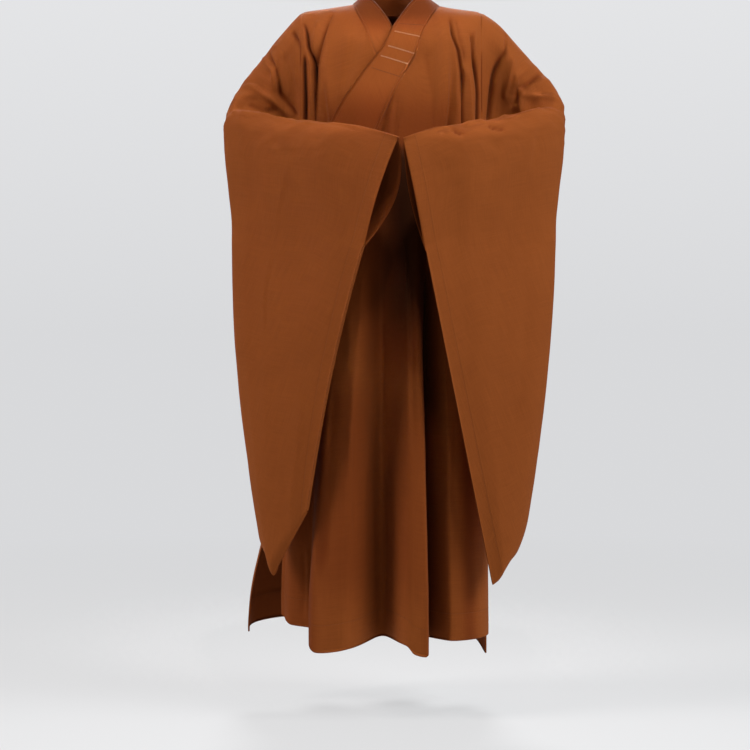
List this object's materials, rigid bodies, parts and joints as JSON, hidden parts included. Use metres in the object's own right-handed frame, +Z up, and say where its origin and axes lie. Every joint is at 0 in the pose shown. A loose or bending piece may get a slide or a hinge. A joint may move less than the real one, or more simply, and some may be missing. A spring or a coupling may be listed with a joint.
{
  "type": "buddhist monk robe",
  "caption": "Long wide-sleeved Buddhist robe in plain brown cloth with a crossed neck band and side slits, in the hollow form of being worn with the hands together in front.",
  "frame": {"origin": "midway between the wearer's shoulders, where they carry the robe", "axes": "+Z up, the front faces -Y, the wearer's left is +X"},
  "size_m": [0.6329, 0.4505, 1.2673],
  "materials": {
    "robe_cloth": "fine plain weave with a faint slub and a soft matt sheen",
    "band_cloth": "the same cloth, folded and stitched"
  },
  "bodies": {
    "root": {"front_outer": "robe_cloth", "front_inner": "robe_cloth", "back": "robe_cloth", "neck_band": "band_cloth", "sleeve_right": "robe_cloth", "sleeve_left": "robe_cloth"}
  },
  "joints": []
}
